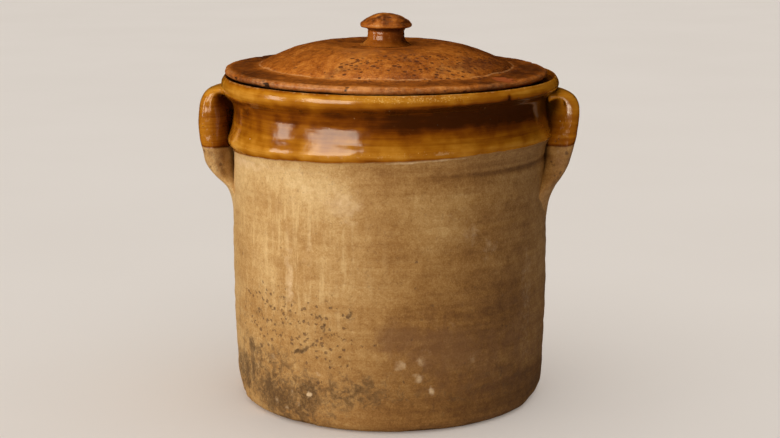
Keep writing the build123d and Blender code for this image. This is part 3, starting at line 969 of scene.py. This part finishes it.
def make_knob():
    profile = [
        line((0, 313.3), (21, 313.3), 3),
        line((21, 313.3), (24.2, 313.6), 1),
        arc((24.2, 313.6), (19.4, 315.6), (16.3, 320), 0.6),
        line((16.3, 320), (15.9, 325.6), 0.8),
        arc((15.9, 325.6), (17.2, 327.9), (20.6, 328.8), 0.6),
        arc((20.6, 328.8), (22.7, 330.4), (22.5, 332.4), 0.5),
        bend([(22.5, 332.4), (19.2, 335.4), (13, 338.9), (6, 341), (0, 341.5)], 8),
    ]
    outline = soften(sum(profile, []) + [(0, 341.5)], 2)
    p, faces, _, azimuth, normal = lathe(outline, KNOB_AROUND)
    turn = np.radians(azimuth)
    height = p[:, 2]
    push = fbm(p, 12, 3, 141) * 0.28 + fbm(p, 3, 2, 145) * 0.07
    push += 0.12 * np.sin(height * 1.6 + turn)
    push -= 0.5 * smooth(height, 335, 341) * np.maximum(fbm(p, 9, 2, 147), 0)
    moved = seat_lid(p + normal * push[:, None])
    cap = smooth(height, 329.6, 331.2)
    under = smooth(height, 325, 327.5) * fade(height, 329, 330.2)
    # painted shade under the cap and on the right side of the stalk
    thick_and_shade = 0.62 + 0.5 * under - 0.12 * fade(height, 314, 319)
    thick_and_shade += 0.2 * (1 - cap) * smooth(np.cos(turn), -0.2, 0.6) - 0.08 * (1 - cap)
    thick_and_shade -= 0.22 * spot(azimuth, height, -90, 330.6, 400, 0.9)
    thick_and_shade += (0.12 + 0.22 * cap) * fbm(p, 7, 3, 151)
    worn_and_highlight = 0.26 * smooth(height, 332.5, 337) + 0.35 * spot(azimuth, height, -90, 330.9, 400, 1)
    pits = 0.46 * smooth(height, 331.5, 335)
    haze = 0.25 * smooth(height, 333, 338)
    marks = dict(thick_and_shade=thick_and_shade, worn_and_highlight=worn_and_highlight, pits=pits, haze=haze, chip=0.0, dark_chips_and_shade=0.0)
    marks["gloss"] = 1 - 0.75 * cap
    knob = add_mesh("lid_knob_cap", moved, faces, marks)
    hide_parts("lid_knob")
    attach(knob, "lid")
    return knob


# ---- the weight stones

STONE_ARC = 73  # points on the round side
STONE_GAP = 0.35  # keeps the stones clear of the floor's throwing marks
STONE_RADIUS = 117.5
STONE_HOLE = 17.0
STONE_SPLIT = 2.0
STONE_THICK = 22.0
STONE_ROUND = 4.0


def on_circle(radius, start, end, count):
    """Points of a circle between two angles in degrees."""
    angle = np.radians(np.linspace(start, end, count))
    return np.stack([radius * np.cos(angle), radius * np.sin(angle)], 1)


def stone_contour():
    """Half-moon seen from above, rear half, counter-clockwise, with rounded corners."""
    left = np.linspace(-STONE_RADIUS, -STONE_HOLE, 15)[1:-1]
    split = np.full(len(left), STONE_SPLIT)
    p = np.vstack([
        on_circle(STONE_RADIUS, 1, 179, STONE_ARC),
        np.stack([left, split], 1),
        on_circle(STONE_HOLE, 173, 7, 15),
        np.stack([-left[::-1], split], 1),
    ])
    for _ in range(2):
        p = p * 0.5 + (np.roll(p, 1, 0) + np.roll(p, -1, 0)) * 0.25
    p[:, 1] = np.maximum(p[:, 1], STONE_SPLIT)
    return p


def make_stone(name, node, body, side):
    contour = stone_contour()
    count = len(contour)
    edge = np.roll(contour, -1, 0) - np.roll(contour, 1, 0)
    normal = np.stack([edge[:, 1], -edge[:, 0]], 1)
    normal /= np.linalg.norm(normal, axis=1)[:, None]
    # rings of the wall: how far inside the contour, and how high
    turns = [math.pi / 2 * k / 6 for k in range(7)]
    rounding = [(STONE_ROUND * (1 - math.sin(a)), STONE_ROUND * (1 - math.cos(a))) for a in turns]
    levels = rounding + [(0, 7), (0, 11), (0, 15)]
    levels += [(depth, STONE_THICK - z) for depth, z in reversed(rounding)]
    p = np.vstack([np.column_stack([contour - normal * d, np.full(count, z)]) for d, z in levels])
    faces = ring_faces(len(levels), count)
    # flat faces: a strip from the round side to the straight side
    a, b = range(STONE_ARC), range(count - 1, STONE_ARC - 1, -1)
    for base, flip in ((0, True), ((len(levels) - 1) * count, False)):
        i = j = 0
        while i < len(a) - 1 or j < len(b) - 1:
            if j == len(b) - 1 or (i < len(a) - 1 and (i + 1) / len(a) <= (j + 1) / len(b)):
                face = (base + a[i], base + a[i + 1], base + b[j])
                i += 1
            else:
                face = (base + a[i], base + b[j + 1], base + b[j])
                j += 1
            faces.append(face[::-1] if flip else face)
    p[:, 2] += FLOOR + STONE_GAP
    p[:, :2] *= side
    lump = fbm(p, 22, 3, 161 + side) * 0.35 + fbm(p, 5, 2, 165 + side) * 0.12
    p[:, :2] += np.tile(normal * side, (len(levels), 1)) * (lump - 0.5)[:, None]
    rounded = np.repeat([float(0 < depth < STONE_ROUND) for depth, _ in levels], count)
    stone = add_mesh(name, p, faces, {"edge": rounded})
    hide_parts(node)
    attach(stone, body)
    return stone


# ---- build

clay_paint = stoneware_material()
for thrown in (
    make_pot(),
    make_handle("handle_left_strap", "handle_left", -1, LEFT_STRAP, 4.2, 2.0, 223.0, 0),
    make_handle("handle_right_strap", "handle_right", 1, RIGHT_STRAP, 6.0, 9.0, 228.0, 1),
):
    thrown.data.materials.append(clay_paint)
lid_paint = lid_material()
for turned in (make_lid(), make_knob()):
    turned.data.materials.append(lid_paint)
stone_paint = stone_material()
for stone in (
    make_stone("weight_stone_front", "weight_front", "front_weight", -1),
    make_stone("weight_stone_rear", "weight_rear", "rear_weight", 1),
):
    stone.data.materials.append(stone_paint)

# ---- floor, light, camera

DAY = (1.0, 0.87, 0.7)


def floor_material():
    paint = Paint("studio_floor")
    tint = paint.noise(400, 3, 0.5)
    colour = paint.ramp(tint, (0.3, (233.0, 223.3, 212.9)), (0.7, (234.9, 225.3, 215.1)))
    relief = paint.noise(3, 3, 0.5)
    return paint.finish(colour, 0.85, paint.bump(relief, 0.05), 0.2)


def make_floor():
    rings, around, reach = 12, 96, 14000
    ring = on_circle(reach, 0, 360 - 360 / around, around)
    flat = [ring * ((i + 1) / rings) ** 2 for i in range(rings)]
    points = np.pad(np.vstack(flat + [[(0, 0)]]), ((0, 0), (0, 1)))
    faces = [face[::-1] for face in ring_faces(rings, around)]
    faces += [(rings * around, j, (j + 1) % around) for j in range(around)]
    floor = add_mesh("studio_floor", points, faces)
    floor.data.materials.append(floor_material())
    floor.visible_glossy = False
    return floor


def light_group(name, state, *things):
    """Collection that a light includes or leaves out."""
    group = bpy.data.collections.new(name)
    for thing in things:
        group.objects.link(thing)
    for member in group.collection_objects:
        member.light_linking.link_state = state
    return group


def add_light(name, data, spin, place=(0, 0, 2), receivers=None):
    light = bpy.data.objects.new(name, data)
    light.location = place
    light.rotation_euler = spin
    bpy.context.scene.collection.objects.link(light)
    light.light_linking.receiver_collection = receivers
    return light


def add_softbox(name, azimuth, distance, height, width, tall, power, receivers):
    """Rectangular light; azimuth is in degrees from the camera's side, negative to the left."""
    data = bpy.data.lights.new(name, "AREA")
    data.shape = "RECTANGLE"
    data.size, data.size_y = width, tall
    data.energy = power
    data.color = DAY
    a = math.radians(azimuth) + VIEW_TURN
    place = Vector((distance * math.sin(a), -distance * math.cos(a), height))
    spin = (Vector((0, 0, 0.17)) - place).to_track_quat("-Z", "Y").to_euler()
    return add_light(name, data, spin, place, receivers)


def add_sun(name, energy, spread, lean, colour, receivers):
    """Broad light that gives no highlights; lean turns it from straight down, in degrees."""
    data = bpy.data.lights.new(name, "SUN")
    data.energy = energy
    data.angle = math.radians(spread)
    data.color = colour
    light = add_light(name, data, [math.radians(a) for a in lean], receivers=receivers)
    light.visible_glossy = False
    return light


VIEW_TURN = math.radians(3.0)
VIEW_DISTANCE, VIEW_HEIGHT, VIEW_DIP = 1.405, 0.4622, math.radians(12.314)
LENS = 73.46

floor = make_floor()
strap = bpy.data.objects["handle_right_strap"]  # the window would leave a second streak on it
no_floor = light_group("all_but_floor", "EXCLUDE", floor)
no_strap = light_group("all_but_floor_and_right_strap", "EXCLUDE", floor, strap)
only_floor = light_group("floor_only", "INCLUDE", floor)
only_strap = light_group("right_strap_only", "INCLUDE", strap)
add_softbox("window_wide", -41, 1.9, 0.72, 1.15, 1.15, 25, no_strap)
add_softbox("window_narrow", -80, 1.9, 0.42, 0.45, 0.75, 6, no_floor)
add_softbox("right_glint", 9, 1.6, 0.16, 1.3, 0.17, 8.5, only_strap)
add_sun("overhead", 2.3, 50, (-6, -8, 0), (1.0, 0.94, 0.86), no_floor)
add_sun("soft_fill", 0.7, 140, (62, 0, 24), (1.0, 0.9, 0.76), no_floor)
add_sun("floor_wash", 2.3, 150, (0, 0, 0), (1.0, 1.0, 1.0), only_floor).data.use_shadow = False
add_sun("floor_shade", 0.45, 120, (0, 0, 0), (1.0, 1.0, 1.0), only_floor)

world = bpy.data.worlds.new("studio")
world.use_nodes = True
sky = world.node_tree.nodes["Background"].inputs
sky["Color"].default_value = (0.95, 0.9, 0.84, 1)
sky["Strength"].default_value = 0.75
world.cycles_visibility.diffuse = False
world.cycles_visibility.glossy = False
bpy.context.scene.world = world
bpy.context.scene.view_settings.view_transform = "Standard"

lens = bpy.data.cameras.new("camera")
lens.sensor_width = 36.0
lens.lens = LENS
camera = bpy.data.objects.new("camera", lens)
level_x, level_y = math.sin(VIEW_TURN), -math.cos(VIEW_TURN)
camera.location = (VIEW_DISTANCE * level_x, VIEW_DISTANCE * level_y, VIEW_HEIGHT)
camera.rotation_euler = (math.pi / 2 - VIEW_DIP, 0, VIEW_TURN)
bpy.context.scene.collection.objects.link(camera)
bpy.context.scene.camera = camera
